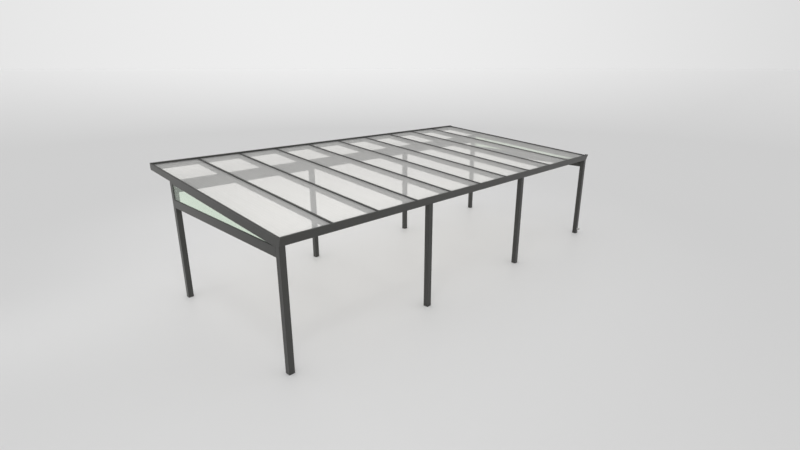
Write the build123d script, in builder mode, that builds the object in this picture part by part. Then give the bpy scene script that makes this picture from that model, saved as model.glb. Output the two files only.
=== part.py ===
from build123d import *
import os
from math import cos, radians, sin, tan

# Free-standing aluminium carport with a single-pitch roof of multiwall sheets.
# X runs along the gutter, Y from the low gutter side to the high rear side, Z is up.
# The origin is on the ground, under the middle of the plan.

# Driving dimensions, in millimetres and degrees
length = 10000
slope = 4.9
front_height = 2190
post_rows = 4
post_size = 110
post_wall = 3
post_radius = 6
post_span = 3890
rear_reach = 1012

rafter_count = 11
rafter_width = 60
rafter_depth = 100
rafter_wall = 2.5
rafter_radius = 2
spine_width = 10
screw_slot = 4
gasket_width = 6
gasket_depth = 2
gasket_inset = 4
roof_rise = 146

sheet_thickness = 16
sheet_skin = 0.9
sheet_web = 0.8
web_pitch = 32
sheet_gap = 2
sheet_dip = 70

cap_width = 50
edge_cap_width = 45
cap_depth = 8
cap_wall = 2.5
edge_lift = 10
rear_lift = 12

gutter_height = 158
gutter_lean = 50
gutter_wall = 3
gutter_lip = 16
gutter_box = 40
end_plate = 4

beam_height = 220
beam_wall = 4

rail_drop = 190
rail_height = 80
rail_wall = 3
glazing_width = 30
glazing_height = 35
glazing_wall = 3
glass_thickness = 8
glass_gap = 1
glass_bite = 12

spout_radius = 25
spout_wall = 2
spout_reach = 70
spout_height = 135

# Places that follow from them
tilt = radians(slope)
half = length / 2
row_depth = post_span + post_size
nose = max(gutter_lean, spout_reach)
depth = nose + row_depth + rear_reach
front = nose - depth / 2
back = front + row_depth
rear_edge = depth / 2
edge_front = rear_edge - rafter_width
ledge_y = rear_edge - rafter_width / 2
gutter_back = front + post_size
sheet_end = gutter_back - sheet_dip
sheet_rear = ledge_y - sheet_gap
beam_front = back - post_size
frame_half = half - end_plate
post_pitch = (length - post_size) / (post_rows - 1)
rafter_pitch = (length - rafter_width) / (rafter_count - 1)
sheet_width = rafter_pitch - spine_width - 2 * sheet_gap

# Drops under the roof's top plane, square to the slope
sheet_top = edge_lift + cap_depth
seat = sheet_top + sheet_thickness
foot = seat + rafter_depth
glazing_foot = foot + glazing_height
run = (depth + 2 * foot) / cos(tilt)


def roof_z(y, drop=0):
    """The height of the roof's top plane at a given y, or of a plane a drop below it."""
    return front_height + roof_rise + (y - gutter_back) * tan(tilt) - drop / cos(tilt)


def slope_plane(x=0):
    """A section plane square to the slope, behind the roof: local x is X and y points up."""
    y = rear_edge + foot
    return Plane(origin=(x, y, roof_z(y)), x_dir=(1, 0, 0), z_dir=(0, -cos(tilt), -sin(tilt)))


def keep_between(near, far):
    """Cut a sloping piece plumb at two y places."""
    split(bisect_by=Plane.XZ.offset(-near), keep=Keep.BOTTOM)
    split(bisect_by=Plane.XZ.offset(-far), keep=Keep.TOP)


def save(piece, name):
    """Label a finished piece and write it."""
    piece.label = name
    export_step(piece, f"parts/{name}.step")


os.makedirs("parts", exist_ok=True)

# Posts: square hollow tubes with rounded corners, standing straight on the ground
beam_top = roof_z(beam_front, foot)
row_y = {"front": front + post_size / 2, "rear": back - post_size / 2}
row_height = {"front": front_height, "rear": beam_top - beam_height}
for row in ("front", "rear"):
    for number in range(post_rows):
        x = -half + post_size / 2 + number * post_pitch
        with BuildPart() as post:
            with BuildSketch(Plane((x, row_y[row], 0))):
                RectangleRounded(post_size, post_size, post_radius)
                inside = post_size - 2 * post_wall
                RectangleRounded(inside, inside, post_radius - post_wall, mode=Mode.SUBTRACT)
            extrude(amount=row_height[row])
        save(post.part, f"{row}_post_{number + 1}")

# Gutter: one extruded trough that is also the front beam. Its face leans outwards to a
# folded lip, and the hollow box behind the trough carries the rafters and the sheets.
gutter_top = front_height + gutter_height
box_front = gutter_back - gutter_box
with BuildPart() as gutter:
    with BuildSketch(Plane.YZ.offset(-frame_half)):
        with BuildLine():
            Polyline(
                (front, front_height),
                (gutter_back, front_height),
                (gutter_back, roof_z(gutter_back, seat)),
                (box_front, roof_z(box_front, seat)),
                (box_front, front_height + gutter_wall),
                (front + gutter_wall, front_height + gutter_wall),
                (front - gutter_lean + gutter_wall, gutter_top - gutter_wall),
                (front - gutter_lean + gutter_lip, gutter_top - gutter_wall),
                (front - gutter_lean + gutter_lip, gutter_top),
                (front - gutter_lean, gutter_top),
                close=True,
            )
        make_face()
        with BuildLine():
            Polyline(
                (gutter_back - gutter_wall, front_height + gutter_wall),
                (gutter_back - gutter_wall, roof_z(gutter_back, seat + gutter_wall)),
                (box_front + gutter_wall, roof_z(box_front, seat + gutter_wall)),
                (box_front + gutter_wall, front_height + gutter_wall),
                close=True,
            )
        make_face(mode=Mode.SUBTRACT)
    extrude(amount=2 * frame_half)
save(gutter.part, "front_gutter")

# Rear beam: a hollow box on the rear posts, its top sloped to seat the rafters
with BuildPart() as beam:
    with BuildSketch(Plane.YZ.offset(-frame_half)):
        with BuildLine():
            Polyline(
                (beam_front, beam_top - beam_height),
                (back, beam_top - beam_height),
                (back, roof_z(back, foot)),
                (beam_front, beam_top),
                close=True,
            )
        make_face()
        offset(amount=-beam_wall, mode=Mode.SUBTRACT)
    extrude(amount=2 * frame_half)
save(beam.part, "rear_beam")

# Rafters: hollow, with two gasket grooves and a slotted spine for the cap screws.
# On the gable rafters a thin wall closes the side that has no sheet.
groove_x = (rafter_width - gasket_width) / 2 - gasket_inset
for number in range(rafter_count):
    x = -half + rafter_width / 2 + number * rafter_pitch
    outer = {0: -1, rafter_count - 1: 1}.get(number, 0)
    with BuildPart() as rafter:
        with BuildSketch(slope_plane(x)):
            with Locations((0, -(foot + seat) / 2)):
                RectangleRounded(rafter_width, rafter_depth, rafter_radius)
            with Locations((0, -(foot + seat + gasket_depth) / 2)):
                Rectangle(
                    rafter_width - 2 * rafter_wall,
                    rafter_depth - 2 * rafter_wall - gasket_depth,
                    mode=Mode.SUBTRACT,
                )
            with Locations((-groove_x, -seat - gasket_depth / 2), (groove_x, -seat - gasket_depth / 2)):
                Rectangle(gasket_width, gasket_depth, mode=Mode.SUBTRACT)
            with Locations((0, -seat + sheet_thickness / 2)):
                Rectangle(spine_width, sheet_thickness)
                Rectangle(screw_slot, sheet_thickness, mode=Mode.SUBTRACT)
            if outer:
                with Locations((outer * (rafter_width - rafter_wall) / 2, -(seat + rafter_radius + sheet_top) / 2)):
                    Rectangle(rafter_wall, seat + rafter_radius - sheet_top)
        extrude(amount=run)
        keep_between(gutter_back, edge_front)
    save(rafter.part, f"rafter_{number + 1}")

# Rear edge profile: a hollow box that closes the rafters, with a ledge for the sheets
# and a top flange whose lip presses on their ends
flange_drop = rafter_wall - rear_lift
with BuildPart() as edge:
    with BuildSketch(Plane.YZ.offset(-frame_half)):
        with BuildLine():
            Polyline(
                (edge_front, roof_z(edge_front, foot)),
                (rear_edge, roof_z(edge_front, foot)),
                (rear_edge, roof_z(rear_edge, -rear_lift)),
                (edge_front, roof_z(edge_front, -rear_lift)),
                (edge_front, roof_z(edge_front, sheet_top)),
                (edge_front + rafter_wall, roof_z(edge_front + rafter_wall, sheet_top)),
                (edge_front + rafter_wall, roof_z(edge_front + rafter_wall, flange_drop)),
                (ledge_y, roof_z(ledge_y, flange_drop)),
                (ledge_y, roof_z(ledge_y, seat)),
                (edge_front, roof_z(edge_front, seat)),
                close=True,
            )
        make_face()
        with BuildLine():
            Polyline(
                (edge_front + rafter_wall, roof_z(edge_front, foot - rafter_wall)),
                (rear_edge - rafter_wall, roof_z(edge_front, foot - rafter_wall)),
                (rear_edge - rafter_wall, roof_z(rear_edge - rafter_wall, flange_drop)),
                (ledge_y + rafter_wall, roof_z(ledge_y + rafter_wall, flange_drop)),
                (ledge_y + rafter_wall, roof_z(ledge_y + rafter_wall, seat + rafter_wall)),
                (edge_front + rafter_wall, roof_z(edge_front + rafter_wall, seat + rafter_wall)),
                close=True,
            )
        make_face(mode=Mode.SUBTRACT)
    extrude(amount=2 * frame_half)
save(edge.part, "rear_edge_profile")

# End plates: they close the gutter, the rear beam and the rear edge, flush with the gables
for side, x in (("left", -half), ("right", frame_half)):
    with BuildPart() as plate:
        with BuildSketch(Plane.YZ.offset(x)):
            with BuildLine():
                Polyline(
                    (front, front_height),
                    (gutter_back, front_height),
                    (gutter_back, roof_z(gutter_back, sheet_top)),
                    (sheet_end, roof_z(sheet_end, sheet_top)),
                    (sheet_end, gutter_top),
                    (front - gutter_lean, gutter_top),
                    close=True,
                )
            make_face()
        extrude(amount=end_plate)
    save(plate.part, f"gutter_end_{side}")
    with BuildPart() as rear_ends:
        with BuildSketch(Plane.YZ.offset(x)):
            with BuildLine():
                Polyline(
                    (beam_front, beam_top - beam_height),
                    (back, beam_top - beam_height),
                    (back, roof_z(back, foot)),
                    (beam_front, beam_top),
                    close=True,
                )
            make_face()
            with BuildLine():
                Polyline(
                    (edge_front, roof_z(edge_front, foot)),
                    (rear_edge, roof_z(edge_front, foot)),
                    (rear_edge, roof_z(rear_edge, -rear_lift)),
                    (edge_front, roof_z(edge_front, -rear_lift)),
                    close=True,
                )
            make_face()
        extrude(amount=end_plate)
    save(rear_ends.part, f"rear_ends_{side}")

# Roof sheets: hollow multiwall, one a bay, from the rear edge to over the gutter
web_count = int((sheet_width - sheet_web) // web_pitch)
chamber = (sheet_width - sheet_web) / web_count
with BuildPart() as sheet:
    with BuildSketch(slope_plane()):
        with Locations((0, -seat + sheet_thickness / 2)):
            Rectangle(sheet_width, sheet_thickness)
            with GridLocations(chamber, 1, web_count, 1):
                Rectangle(chamber - sheet_web, sheet_thickness - 2 * sheet_skin, mode=Mode.SUBTRACT)
    extrude(amount=run)
    keep_between(sheet_end, sheet_rear)
for number in range(rafter_count - 1):
    x = -half + rafter_width / 2 + (number + 0.5) * rafter_pitch
    save(Pos(x, 0, 0) * sheet.part, f"roof_sheet_{number + 1}")

# Caps: an open aluminium channel over each rafter, its legs holding the sheets down.
# The gable caps are taller and flush with the gable.
with BuildPart() as caps:
    for number in range(rafter_count):
        outer = {0: -1, rafter_count - 1: 1}.get(number, 0)
        top = 0 if outer else -edge_lift
        width = edge_cap_width if outer else cap_width
        left = outer * (rafter_width - width) / 2 - width / 2
        right = left + width
        with BuildSketch(slope_plane(-half + rafter_width / 2 + number * rafter_pitch)):
            with BuildLine():
                Polyline(
                    (left, -sheet_top),
                    (left, top - cap_wall),
                    (left + cap_wall, top),
                    (right - cap_wall, top),
                    (right, top - cap_wall),
                    (right, -sheet_top),
                    (right - cap_wall, -sheet_top),
                    (right - cap_wall, top - cap_wall),
                    (left + cap_wall, top - cap_wall),
                    (left + cap_wall, -sheet_top),
                    close=True,
                )
            make_face()
        extrude(amount=run)
    keep_between(sheet_end, edge_front)
save(caps.part, "glazing_caps")

# Side rails, and above each a glass wedge between a sill and a sloping glazing profile
rail_top = front_height - rail_drop + rail_height
sill_top = roof_z(gutter_back, glazing_foot)
glass_foot = sill_top - glass_bite
sill_height = sill_top - rail_top
groove_width = glass_thickness + 2 * glass_gap
core_width = glazing_width - 2 * glazing_wall
glass_drop = glazing_foot - glass_bite + glass_gap
for side, sign in (("left", -1), ("right", 1)):
    rail_x = sign * (half - post_size / 2)
    glazing_x = sign * (half - glazing_width / 2)
    with BuildPart() as rail:
        with BuildSketch(Plane.XZ.offset(-gutter_back)):
            with Locations((rail_x, rail_top - rail_height / 2)):
                Rectangle(post_size, rail_height)
                Rectangle(post_size - 2 * rail_wall, rail_height - 2 * rail_wall, mode=Mode.SUBTRACT)
        extrude(amount=gutter_back - beam_front)
    save(rail.part, f"side_rail_{side}")
    with BuildPart() as sill:
        with BuildSketch(Plane.XZ.offset(-gutter_back)):
            with Locations((glazing_x, rail_top + sill_height / 2)):
                Rectangle(glazing_width, sill_height)
            with Locations((glazing_x, rail_top + (sill_height - glass_bite) / 2)):
                core_height = sill_height - glass_bite - 2 * glazing_wall
                Rectangle(core_width, core_height, mode=Mode.SUBTRACT)
            with Locations((glazing_x, sill_top - glass_bite / 2)):
                Rectangle(groove_width, glass_bite, mode=Mode.SUBTRACT)
        extrude(amount=gutter_back - beam_front)
    save(sill.part, f"glazing_sill_{side}")
    with BuildPart() as profile:
        with BuildSketch(slope_plane(glazing_x)):
            with Locations((0, -foot - glazing_height / 2)):
                Rectangle(glazing_width, glazing_height)
            with Locations((0, -foot - (glazing_height - glass_bite) / 2)):
                core_height = glazing_height - glass_bite - 2 * glazing_wall
                Rectangle(core_width, core_height, mode=Mode.SUBTRACT)
            with Locations((0, -glazing_foot + glass_bite / 2)):
                Rectangle(groove_width, glass_bite, mode=Mode.SUBTRACT)
        extrude(amount=run)
        keep_between(gutter_back, beam_front)
    save(profile.part, f"glazing_profile_{side}")
    with BuildPart() as glass:
        with BuildSketch(Plane.YZ.offset(glazing_x - glass_thickness / 2)):
            with BuildLine():
                Polyline(
                    (gutter_back, glass_foot),
                    (beam_front, glass_foot),
                    (beam_front, roof_z(beam_front, glass_drop)),
                    (gutter_back, roof_z(gutter_back, glass_drop)),
                    close=True,
                )
            make_face()
        extrude(amount=glass_thickness)
    save(glass.part, f"side_glass_{side}")

# Drain spout: a short pipe low on the last front post
with BuildPart() as spout:
    with BuildSketch(Plane.XZ.offset(-front)):
        with Locations((half - post_size / 2, spout_height)):
            Circle(spout_radius)
            Circle(spout_radius - spout_wall, mode=Mode.SUBTRACT)
    extrude(amount=spout_reach)
save(spout.part, "drain_spout")
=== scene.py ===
import bpy, bmesh, math
from mathutils import Matrix, Vector


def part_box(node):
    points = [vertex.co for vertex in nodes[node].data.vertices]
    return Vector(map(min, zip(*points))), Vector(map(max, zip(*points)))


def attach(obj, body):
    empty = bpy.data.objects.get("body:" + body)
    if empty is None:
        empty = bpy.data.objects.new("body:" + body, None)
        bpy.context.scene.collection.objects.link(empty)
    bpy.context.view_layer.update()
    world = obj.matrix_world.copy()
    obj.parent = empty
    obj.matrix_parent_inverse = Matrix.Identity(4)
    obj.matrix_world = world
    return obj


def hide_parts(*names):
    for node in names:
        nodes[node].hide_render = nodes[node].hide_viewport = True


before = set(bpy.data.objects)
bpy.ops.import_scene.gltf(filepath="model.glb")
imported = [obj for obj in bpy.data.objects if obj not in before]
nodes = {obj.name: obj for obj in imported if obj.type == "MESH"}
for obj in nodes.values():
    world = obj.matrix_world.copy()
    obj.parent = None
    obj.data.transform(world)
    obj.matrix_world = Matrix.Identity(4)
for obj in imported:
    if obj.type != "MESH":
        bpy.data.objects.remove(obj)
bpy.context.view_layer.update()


# A hex colour as the linear values that Blender works in
def srgb(code):
    parts = [int(code[i:i + 2], 16) / 255 for i in (1, 3, 5)]
    return [p / 12.92 if p <= 0.04045 else ((p + 0.055) / 1.055) ** 2.4 for p in parts] + [1.0]


# Adds a node with its settings, its values and its links
def addNode(tree, kind, inputs=None, **settings):
    made = tree.nodes.new(kind)
    for key, value in settings.items():
        setattr(made, key, value)
    for key, value in (inputs or {}).items():
        if isinstance(value, bpy.types.NodeSocket):
            tree.links.new(value, made.inputs[key])
        else:
            made.inputs[key].default_value = value
    return made


# A material with an empty node tree, and its tree
def newMaterial(name):
    material = bpy.data.materials.new(name)
    material.use_nodes = True
    material.node_tree.nodes.clear()
    return material, material.node_tree


# Shows a shader as the material's surface
def setSurface(tree, shader):
    tree.links.new(shader.outputs[0], addNode(tree, "ShaderNodeOutputMaterial").inputs["Surface"])


# A mesh as a piece of the object, on its one body
def newPiece(name, mesh, material):
    piece = bpy.data.objects.new(name, mesh)
    bpy.context.collection.objects.link(piece)
    mesh.materials.clear()
    mesh.materials.append(material)
    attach(piece, "root")
    return piece


# The numbers of a colour mix's sockets, as several of them share one name
factor, first, second, mixed = 0, 6, 7, 2

# Camera: the place and angle of the photograph, from the foot of the first post
camera = {"offset": (-3.414, -5.9134, 4.6768), "pitch": 72.0, "turn": -45.0, "lens": 21.713,
          "far": 4000.0}
cameraData = bpy.data.cameras.new("camera")
cameraData.lens = camera["lens"]
cameraData.sensor_fit = "HORIZONTAL"
cameraData.clip_end = camera["far"]
cameraObject = bpy.data.objects.new("camera", cameraData)
cameraObject.location = Vector(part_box("front_post_1")[0]) + Vector(camera["offset"])
cameraObject.rotation_euler = (math.radians(camera["pitch"]), 0, math.radians(camera["turn"]))
bpy.context.collection.objects.link(cameraObject)
bpy.context.scene.camera = cameraObject
bpy.context.scene.view_settings.view_transform = "Standard"
print("camera in place")

# The roof's fall in degrees and its rafters. Their places are read from the frame
roof = {"fall": 4.9, "rafters": 11}
slope = math.radians(roof["fall"])
capLow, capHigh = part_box("glazing_caps")
rafterBoxes = [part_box(f"rafter_{number + 1}") for number in range(roof["rafters"])]
rafterX = [(low[0] + high[0]) / 2 for low, high in rafterBoxes]
gableSide = {0: -1, roof["rafters"] - 1: 1}
along = Vector((0, math.cos(slope), math.sin(slope)))
outward = Vector((0, -math.sin(slope), math.cos(slope)))

# Powder-coated aluminium: extruded sections, sprayed and baked in a warm dark grey.
# The cloud gives the uneven satin of a sprayed coat, the peel its fine texture, the
# film of dust the paler tone of faces that look up.
coat = {"dark": "#3b3b39", "light": "#434341", "dust": "#6c6b66", "film": 0.05, "level": 0.6,
        "cloud": 2.2, "peel": 520.0, "bump": 0.12, "relief": 0.0004,
        "satin": (0.27, 0.37), "dull": 0.62, "shine": 0.33}
powderCoat, tree = newMaterial("powderCoatedAluminium")
place = addNode(tree, "ShaderNodeTexCoord").outputs["Object"]
cloud = addNode(tree, "ShaderNodeTexNoise",
                {"Vector": place, "Scale": coat["cloud"], "Detail": 3.0}).outputs[0]
peel = addNode(tree, "ShaderNodeTexNoise",
               {"Vector": place, "Scale": coat["peel"], "Detail": 1.0}).outputs[0]
tone = addNode(tree, "ShaderNodeMix",
               {factor: cloud, first: srgb(coat["dark"]), second: srgb(coat["light"])},
               data_type="RGBA").outputs[mixed]
normal = addNode(tree, "ShaderNodeNewGeometry").outputs["Normal"]
facing = addNode(tree, "ShaderNodeSeparateXYZ", {"Vector": normal}).outputs["Z"]
upward = addNode(tree, "ShaderNodeMapRange",
                 {"Value": facing, "From Min": coat["level"], "From Max": 1.0,
                  "To Min": 0.0, "To Max": coat["film"]}).outputs[0]
settled = addNode(tree, "ShaderNodeMath", {0: upward, 1: cloud}, operation="MULTIPLY").outputs[0]
dusty = addNode(tree, "ShaderNodeMix",
                {factor: settled, first: tone, second: srgb(coat["dust"])},
                data_type="RGBA").outputs[mixed]
satin = addNode(tree, "ShaderNodeMapRange",
                {"Value": cloud, "To Min": coat["satin"][0], "To Max": coat["satin"][1]}).outputs[0]
rough = addNode(tree, "ShaderNodeMapRange",
                {"Value": facing, "From Min": coat["level"], "From Max": 1.0,
                 "To Min": satin, "To Max": coat["dull"]}).outputs[0]
bump = addNode(tree, "ShaderNodeBump",
               {"Height": peel, "Strength": coat["bump"], "Distance": coat["relief"]}).outputs[0]
setSurface(tree, addNode(tree, "ShaderNodeBsdfPrincipled",
                         {"Base Color": dusty, "Roughness": rough,
                          "Specular IOR Level": coat["shine"], "Normal": bump}))

# Multiwall polycarbonate: extruded as a hollow sheet, milky all through. Each skin lets most
# light straight on and scatters the rest to both sides, so two skins look pale. Faint ribs
# stand for the webs, at about twice their spacing. Shadow and diffuse rays pass as through
# clear sheet, so the sheets cast no shade on the floor, only a little warmth.
sheetLook = {"dark": "#f4f5f5", "light": "#fcfdfd", "clear": "#fffefc", "skin": 0.275, "rib": 0.31,
             "chambers": 30, "web": 0.045, "glossy": 0.65, "rough": 0.3,
             "stretch": (9.0, 0.35, 0.35), "streaks": 3.0}
polycarbonate, tree = newMaterial("multiwallPolycarbonate")
place = addNode(tree, "ShaderNodeTexCoord").outputs["Object"]
long = addNode(tree, "ShaderNodeMapping",
               {"Vector": place, "Scale": sheetLook["stretch"]}).outputs[0]
flow = addNode(tree, "ShaderNodeTexNoise",
               {"Vector": long, "Scale": sheetLook["streaks"], "Detail": 2.0}).outputs[0]
tone = addNode(tree, "ShaderNodeMix",
               {factor: flow, first: srgb(sheetLook["dark"]), second: srgb(sheetLook["light"])},
               data_type="RGBA").outputs[mixed]
chamber = (rafterX[1] - rafterX[0]) / sheetLook["chambers"]
ribEdge = chamber * sheetLook["web"] * 2
across = addNode(tree, "ShaderNodeSeparateXYZ", {"Vector": place}).outputs["X"]
count = addNode(tree, "ShaderNodeMath", {0: across, 1: rafterX[0]}, operation="SUBTRACT").outputs[0]
toWeb = addNode(tree, "ShaderNodeMath", {0: count, 1: chamber}, operation="PINGPONG").outputs[0]
rib = addNode(tree, "ShaderNodeMapRange",
              {"Value": toWeb, "From Min": 0.0, "From Max": ribEdge,
               "To Min": sheetLook["rib"], "To Max": sheetLook["skin"]},
              interpolation_type="SMOOTHSTEP").outputs[0]
milk = addNode(tree, "ShaderNodeBsdfTranslucent", {"Color": tone}).outputs[0]
skin = addNode(tree, "ShaderNodeBsdfPrincipled",
               {"Base Color": tone, "Roughness": sheetLook["rough"]}).outputs[0]
body = addNode(tree, "ShaderNodeMixShader", {0: sheetLook["glossy"], 1: milk, 2: skin}).outputs[0]
clear = addNode(tree, "ShaderNodeBsdfTransparent", {"Color": srgb(sheetLook["clear"])}).outputs[0]
wall = addNode(tree, "ShaderNodeMixShader", {0: rib, 1: clear, 2: body}).outputs[0]
path = addNode(tree, "ShaderNodeLightPath").outputs
lighting = addNode(tree, "ShaderNodeMath", {0: path["Is Shadow Ray"], 1: path["Is Diffuse Ray"]},
                   operation="MAXIMUM").outputs[0]
setSurface(tree, addNode(tree, "ShaderNodeMixShader", {0: lighting, 1: wall, 2: clear}))

# Side glazing: float glass, its body a pale green that tints what is behind it. The faces
# add a plain shine and a little haze, so dark posts look paler through the pane.
glassLook = {"tint": "#e6eee5", "haze": "#222522", "rough": 0.12, "wave": 3.0, "bump": 0.02,
             "relief": 0.0005}
sideGlass, tree = newMaterial("greenFloatGlass")
place = addNode(tree, "ShaderNodeTexCoord").outputs["Object"]
wave = addNode(tree, "ShaderNodeTexNoise", {"Vector": place, "Scale": glassLook["wave"]}).outputs[0]
bump = addNode(tree, "ShaderNodeBump",
               {"Height": wave, "Strength": glassLook["bump"],
                "Distance": glassLook["relief"]}).outputs[0]
face = addNode(tree, "ShaderNodeBsdfPrincipled",
               {"Base Color": srgb(glassLook["haze"]), "Roughness": glassLook["rough"],
                "Normal": bump}).outputs[0]
clear = addNode(tree, "ShaderNodeBsdfTransparent", {"Color": srgb(glassLook["tint"])}).outputs[0]
setSurface(tree, addNode(tree, "ShaderNodeAddShader", {0: clear, 1: face}))

# Grey pipe plastic: extruded, with faint lengthways draw marks
pipeLook = {"dark": "#a6a6a3", "light": "#b6b6b3", "rough": 0.42, "bump": 0.1, "relief": 0.0003,
            "stretch": (60.0, 3.0, 60.0), "marks": 4.0}
pipePlastic, tree = newMaterial("greyPipePlastic")
place = addNode(tree, "ShaderNodeTexCoord").outputs["Object"]
long = addNode(tree, "ShaderNodeMapping",
               {"Vector": place, "Scale": pipeLook["stretch"]}).outputs[0]
draw = addNode(tree, "ShaderNodeTexNoise", {"Vector": long, "Scale": pipeLook["marks"]}).outputs[0]
tone = addNode(tree, "ShaderNodeMix",
               {factor: draw, first: srgb(pipeLook["dark"]), second: srgb(pipeLook["light"])},
               data_type="RGBA").outputs[mixed]
bump = addNode(tree, "ShaderNodeBump",
               {"Height": draw, "Strength": pipeLook["bump"],
                "Distance": pipeLook["relief"]}).outputs[0]
setSurface(tree, addNode(tree, "ShaderNodeBsdfPrincipled",
                         {"Base Color": tone, "Roughness": pipeLook["rough"], "Normal": bump}))

# Black sealing rubber: extruded lip, dull, with a fine grain
rubberLook = {"dark": "#171716", "light": "#232322", "rough": 0.65, "grain": 900.0, "bump": 0.2,
              "relief": 0.0002}
sealRubber, tree = newMaterial("blackSealRubber")
place = addNode(tree, "ShaderNodeTexCoord").outputs["Object"]
grain = addNode(tree, "ShaderNodeTexNoise",
                {"Vector": place, "Scale": rubberLook["grain"]}).outputs[0]
tone = addNode(tree, "ShaderNodeMix",
               {factor: grain, first: srgb(rubberLook["dark"]), second: srgb(rubberLook["light"])},
               data_type="RGBA").outputs[mixed]
bump = addNode(tree, "ShaderNodeBump",
               {"Height": grain, "Strength": rubberLook["bump"],
                "Distance": rubberLook["relief"]}).outputs[0]
setSurface(tree, addNode(tree, "ShaderNodeBsdfPrincipled",
                         {"Base Color": tone, "Roughness": rubberLook["rough"], "Normal": bump}))

looks = {"roof_sheet": polycarbonate, "side_glass": sideGlass, "drain_spout": pipePlastic}
for name, piece in nodes.items():
    chosen = next((look for start, look in looks.items() if name.startswith(start)), powderCoat)
    piece.data.materials.clear()
    piece.data.materials.append(chosen)
print("materials on the frame")


# A point at x and y on the roof's top plane, or a drop below it, square to the slope
def roofPoint(x, y, drop=0.0):
    height = capHigh[2] + (y - capHigh[1]) * math.tan(slope) - drop / math.cos(slope)
    return Vector((x, y, height))


# A closed bar from start to end. The section is a list of (across, up) places
def sweep(bm, section, start, end, across, up):
    low, high = [[bm.verts.new(point + across * a + up * b) for a, b in section]
                 for point in (start, end)]
    for here in range(len(section)):
        after = (here + 1) % len(section)
        bm.faces.new([low[here], low[after], high[after], high[here]])
    bm.faces.new(low[::-1])
    bm.faces.new(high)


# A mesh from a bmesh, with its faces turned outwards
def finishMesh(bm, name):
    bmesh.ops.recalc_face_normals(bm, faces=bm.faces)
    mesh = bpy.data.meshes.new(name)
    bm.to_mesh(mesh)
    bm.free()
    return mesh


# Roof sheets: the closed outer skin of every hollow sheet, with its edges eased. The webs
# inside are left to the material: with them in the mesh the far bays rendered dark.
sheetSkin = {"ease": 0.0006, "flat": 0.01}
for number in range(1, roof["rafters"]):
    bm = bmesh.new()
    for vertex in nodes[f"roof_sheet_{number}"].data.vertices:
        bm.verts.new(vertex.co)
    hull = bmesh.ops.convex_hull(bm, input=bm.verts)
    spare = hull["geom_interior"] + hull["geom_unused"]
    inner = {item for item in spare if isinstance(item, bmesh.types.BMVert)}
    bmesh.ops.delete(bm, geom=list(inner), context="VERTS")
    bmesh.ops.dissolve_limit(bm, angle_limit=sheetSkin["flat"], verts=bm.verts, edges=bm.edges)
    bmesh.ops.bevel(bm, geom=bm.edges, offset=sheetSkin["ease"], segments=1, affect="EDGES")
    name = f"sheetSkin{number}"
    piece = newPiece(name, finishMesh(bm, name), polycarbonate)
    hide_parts(f"roof_sheet_{number}")
print("roof sheets")

# Cap seals: a rubber lip beside each cap leg that stands on a sheet. The record has no slot
# for rubber.
capSeal = {"width": 0.0035, "height": 0.0045, "tip": 0.0008, "lift": 0.0001, "waist": 0.0012,
           "bend": 0.7, "reach": 0.025, "edgeReach": 0.015, "drop": 0.018, "inset": 0.002}
bm = bmesh.new()
for number, x in enumerate(rafterX):
    gable = gableSide.get(number, 0)
    for side in (-1, 1):
        if side == gable:
            continue
        foot = x + side * (capSeal["edgeReach"] if gable else capSeal["reach"])
        start = roofPoint(foot, capLow[1] + capSeal["inset"], capSeal["drop"])
        end = roofPoint(foot, capHigh[1] - capSeal["inset"], capSeal["drop"])
        lip = [(0, capSeal["lift"]), (side * capSeal["width"], capSeal["lift"]),
               (side * capSeal["width"], capSeal["tip"]),
               (side * capSeal["waist"], capSeal["height"] * capSeal["bend"]), (0, capSeal["height"])]
        sweep(bm, lip, start, end, Vector((1, 0, 0)), outward)
newPiece("capSeals", finishMesh(bm, "capSeals"), sealRubber)
print("cap seals")

# Cap screws: flanged hexagon heads in a row down every cap, from one head on a pitch
screw = {"pitch": 0.34, "flat": 0.0045, "head": 0.0042, "flange": 0.0068, "rim": 0.0012,
         "inset": 0.09, "drop": 0.010, "aside": 0.0075, "seed": 7}
bm = bmesh.new()
for sides, radius, taper, low, height in ((24, screw["flange"], 0.9, 0.0, screw["rim"]),
                                          (6, screw["flat"], 0.96, screw["rim"], screw["head"])):
    bmesh.ops.create_cone(bm, cap_ends=True, segments=sides, radius1=radius, radius2=radius * taper,
                          depth=height, matrix=Matrix.Translation((0, 0, low + height / 2)))
headObject = bpy.data.objects.new("screwHead", finishMesh(bm, "screwHead"))
bm = bmesh.new()
for number, x in enumerate(rafterX):
    gable = gableSide.get(number, 0)
    middle = x + gable * screw["aside"]
    drop = 0.0 if gable else screw["drop"]
    bm.edges.new([bm.verts.new(roofPoint(middle, y, drop))
                  for y in (capLow[1] + screw["inset"], capHigh[1] - screw["inset"])])
lineMesh = bpy.data.meshes.new("capLines")
bm.to_mesh(lineMesh)
bm.free()
rowObject = bpy.data.objects.new("capLines", lineMesh)
for made in (headObject, rowObject):
    bpy.context.collection.objects.link(made)
tree = bpy.data.node_groups.new("screwRow", "GeometryNodeTree")
tree.interface.new_socket("Geometry", in_out="INPUT", socket_type="NodeSocketGeometry")
pitchSocket = tree.interface.new_socket("Pitch", in_out="INPUT", socket_type="NodeSocketFloat")
headSocket = tree.interface.new_socket("Head", in_out="INPUT", socket_type="NodeSocketObject")
coatSocket = tree.interface.new_socket("Material", in_out="INPUT", socket_type="NodeSocketMaterial")
tree.interface.new_socket("Geometry", in_out="OUTPUT", socket_type="NodeSocketGeometry")
given = addNode(tree, "NodeGroupInput")
rows = addNode(tree, "GeometryNodeMeshToCurve", {"Mesh": given.outputs["Geometry"]})
spaced = addNode(tree, "GeometryNodeResampleCurve",
                 {"Curve": rows.outputs[0], "Length": given.outputs["Pitch"]}, mode="LENGTH")
head = addNode(tree, "GeometryNodeObjectInfo", {"Object": given.outputs["Head"]})
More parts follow.
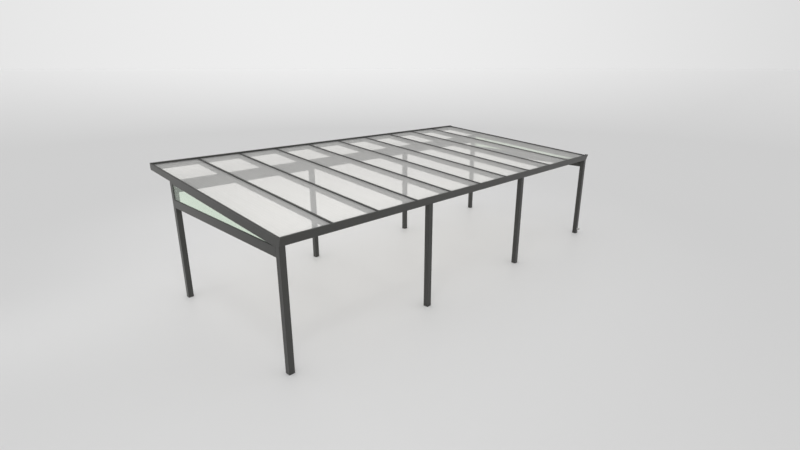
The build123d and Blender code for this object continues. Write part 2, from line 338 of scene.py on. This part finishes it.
# Each head is turned by chance. Sockets 2 and 3 are the least and the most of a plain number
turn = addNode(tree, "FunctionNodeRandomValue", {2: 0.0, 3: math.tau, "Seed": screw["seed"]},
               data_type="FLOAT")
spin = addNode(tree, "ShaderNodeCombineXYZ", {"Z": turn.outputs[1]})
heads = addNode(tree, "GeometryNodeInstanceOnPoints",
                {"Points": spaced.outputs[0], "Instance": head.outputs["Geometry"],
                 "Rotation": (slope, 0, 0)})
turned = addNode(tree, "GeometryNodeRotateInstances",
                 {"Instances": heads.outputs[0], "Rotation": spin.outputs[0]})
real = addNode(tree, "GeometryNodeRealizeInstances", {"Geometry": turned.outputs[0]})
coated = addNode(tree, "GeometryNodeSetMaterial",
                 {"Geometry": real.outputs[0], "Material": given.outputs["Material"]})
tree.links.new(coated.outputs[0], addNode(tree, "NodeGroupOutput").inputs[0])
modifier = rowObject.modifiers.new("screwRow", "NODES")
modifier.node_group = tree
modifier[pitchSocket.identifier] = screw["pitch"]
modifier[headSocket.identifier] = headObject
modifier[coatSocket.identifier] = powderCoat
evaluated = rowObject.evaluated_get(bpy.context.evaluated_depsgraph_get())
screwMesh = bpy.data.meshes.new_from_object(evaluated)
for made in (headObject, rowObject):
    bpy.data.objects.remove(made)
newPiece("capScrews", screwMesh, powderCoat)
print("cap screws")

# Sheet closures: a folded aluminium channel on the low end of every sheet, with a drip edge
closure = {"wall": 0.001, "depth": 0.022, "side": 0.029, "top": 0.018, "sheet": 0.016,
           "drip": 0.005, "play": 0.0001}
wall, depth, play = closure["wall"], closure["depth"], closure["play"]
under = -closure["sheet"]
drip = under - wall - closure["drip"]
channel = [(-wall, wall), (-wall, drip), (0, drip), (0, under - wall), (depth, under - wall),
           (depth, under - play), (-play, under - play), (-play, play), (depth, play), (depth, wall)]
bm = bmesh.new()
for left, right in zip(rafterX, rafterX[1:]):
    start = roofPoint(left + closure["side"], capLow[1], closure["top"])
    end = roofPoint(right - closure["side"], capLow[1], closure["top"])
    sweep(bm, channel, start, end, along, outward)
newPiece("sheetClosures", finishMesh(bm, "sheetClosures"), powderCoat)
print("sheet closures")

# Glass seals: a rubber bead on both faces of each wedge, along its sill and its profile.
# They start clear of the wedge's narrow end.
bead = {"width": 0.003, "height": 0.0018, "clear": 0.12, "crown": 0.6, "shoulder": 0.7}
bm = bmesh.new()
for side in ("left", "right"):
    glassLow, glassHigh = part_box(f"side_glass_{side}")
    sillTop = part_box(f"glazing_sill_{side}")[1][2]
    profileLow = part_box(f"glazing_profile_{side}")[0]
    foot = Vector((0, profileLow[1], profileLow[2]))
    reach = (glassHigh[1] - foot.y) / math.cos(slope)
    for face, sign in ((glassLow[0], -1), (glassHigh[0], 1)):
        wide, high = sign * bead["width"], bead["height"]
        lower = [(0, 0), (wide, 0), (wide * bead["crown"], high * bead["shoulder"]), (0, high)]
        upper = [(a, -b) for a, b in lower]
        sweep(bm, lower, Vector((face, glassLow[1] + bead["clear"], sillTop)),
              Vector((face, glassHigh[1], sillTop)), Vector((1, 0, 0)), Vector((0, 0, 1)))
        edge = Vector((face, 0, 0)) + foot
        sweep(bm, upper, edge + along * bead["clear"], edge + along * reach,
              Vector((1, 0, 0)), outward)
newPiece("glassSeals", finishMesh(bm, "glassSeals"), sealRubber)
print("glass seals")

# Floor: one pale plane. Its colour carries a painted pool of light round the carport, and a painted
# glow far off where it meets the backdrop, brightest toward one heading
stage = {"near": "#d1d1d1", "paintedLightPool": "#e7e7e7", "rim": ("#e0e0e0", "#f5f5f5"),
         "backdrop": ("#dddddd", "#eeeeee"), "half": 3000.0, "clear": 29.0,
         "bright": (0.605, 0.795, 0.0), "edge": 0.7, "middle": (0.9, 2.3, 0.0), "radius": 11.0,
         "rough": 0.45, "shine": 0.2}
half = stage["half"]
floorMesh = bpy.data.meshes.new("floor")
corners = [(-half, -half, 0), (half, -half, 0), (half, half, 0), (-half, half, 0)]
floorMesh.from_pydata(corners, [], [(0, 1, 2, 3)])
floor = bpy.data.objects.new("floor", floorMesh)
bpy.context.collection.objects.link(floor)
floorPaint, tree = newMaterial("studioFloor")
place = addNode(tree, "ShaderNodeTexCoord").outputs["Object"]
# Painted glow: past the clear reach the colour fades to a rim that is brighter toward the bright
# heading
reach = addNode(tree, "ShaderNodeVectorMath", {0: place}, operation="LENGTH").outputs["Value"]
near = addNode(tree, "ShaderNodeMath", {0: stage["clear"], 1: reach}, operation="DIVIDE").outputs[0]
fade = addNode(tree, "ShaderNodeMapRange",
               {"Value": near, "From Min": 1.0, "From Max": 0.0}).outputs[0]
heading = addNode(tree, "ShaderNodeVectorMath", {0: place}, operation="NORMALIZE").outputs[0]
toward = addNode(tree, "ShaderNodeVectorMath", {0: heading, 1: stage["bright"]},
                 operation="DOT_PRODUCT").outputs["Value"]
glow = addNode(tree, "ShaderNodeMapRange",
               {"Value": toward, "From Min": stage["edge"], "From Max": 1.0}).outputs[0]
rim = addNode(tree, "ShaderNodeMix",
              {factor: glow, first: srgb(stage["rim"][0]), second: srgb(stage["rim"][1])},
              data_type="RGBA").outputs[mixed]
# Painted pool of light: within the radius round the middle the colour is brighter
away = addNode(tree, "ShaderNodeVectorMath", {0: place, 1: stage["middle"]},
               operation="DISTANCE").outputs["Value"]
lit = addNode(tree, "ShaderNodeMapRange",
              {"Value": away, "From Min": stage["radius"], "From Max": 0.0},
              interpolation_type="SMOOTHSTEP").outputs[0]
paintedLightPool = addNode(tree, "ShaderNodeMix",
               {factor: lit, first: srgb(stage["near"]), second: srgb(stage["paintedLightPool"])},
               data_type="RGBA").outputs[mixed]
tone = addNode(tree, "ShaderNodeMix", {factor: fade, first: paintedLightPool, second: rim},
               data_type="RGBA").outputs[mixed]
setSurface(tree, addNode(tree, "ShaderNodeBsdfPrincipled",
                         {"Base Color": tone, "Roughness": stage["rough"],
                          "Specular IOR Level": stage["shine"]}))
floorMesh.materials.append(floorPaint)

# Light: an even studio all round, a soft lamp over the near corner and one beside the left
# gable. The camera doesn't see the lamps, and the side lamp isn't mirrored either.
lamps = {
    "cornerLamp": {"place": (-6.5, -4.8, 8.0), "power": 85.0, "size": 1.6, "turn": 0.0,
                   "beam": 180.0, "mirrored": True},
    "sideLamp": {"place": (-17.0, 2.0, 1.8), "power": 30.0, "size": 1.6, "turn": -90.0,
                 "beam": 34.0, "mirrored": False}}
studio = {"colour": (1, 1, 1, 1), "strength": 0.96}
world = bpy.data.worlds.new("studio")
bpy.context.scene.world = world
world.use_nodes = True
tree = world.node_tree
tree.nodes.clear()
path = addNode(tree, "ShaderNodeLightPath").outputs
light = addNode(tree, "ShaderNodeBackground",
                {"Color": studio["colour"], "Strength": studio["strength"]}).outputs[0]
# The backdrop seen by the camera, gloss and glass is painted brighter toward the same heading: a
# painted glow
heading = addNode(tree, "ShaderNodeTexCoord").outputs["Generated"]
toward = addNode(tree, "ShaderNodeVectorMath", {0: heading, 1: stage["bright"]},
                 operation="DOT_PRODUCT").outputs["Value"]
glow = addNode(tree, "ShaderNodeMapRange",
               {"Value": toward, "From Min": stage["edge"], "From Max": 1.0}).outputs[0]
rim = addNode(tree, "ShaderNodeMix",
              {factor: glow, first: srgb(stage["backdrop"][0]), second: srgb(stage["backdrop"][1])},
              data_type="RGBA").outputs[mixed]
seen = addNode(tree, "ShaderNodeBackground", {"Color": rim}).outputs[0]
shiny = addNode(tree, "ShaderNodeMath", {0: path["Is Glossy Ray"], 1: path["Is Transmission Ray"]},
                operation="MAXIMUM").outputs[0]
looked = addNode(tree, "ShaderNodeMath", {0: path["Is Camera Ray"], 1: shiny},
                 operation="MAXIMUM").outputs[0]
both = addNode(tree, "ShaderNodeMixShader", {0: looked, 1: light, 2: seen}).outputs[0]
tree.links.new(both, addNode(tree, "ShaderNodeOutputWorld").inputs[0])
for name, lamp in lamps.items():
    lampData = bpy.data.lights.new(name, "AREA")
    lampData.shape = "DISK"
    lampData.size = lamp["size"]
    lampData.energy = lamp["power"]
    lampData.spread = math.radians(lamp["beam"])
    lampObject = bpy.data.objects.new(name, lampData)
    lampObject.location = lamp["place"]
    lampObject.visible_camera = False
    lampObject.visible_glossy = lamp["mirrored"]
    lampObject.rotation_euler = (0, math.radians(lamp["turn"]), 0)
    bpy.context.collection.objects.link(lampObject)
print("floor and light in place")
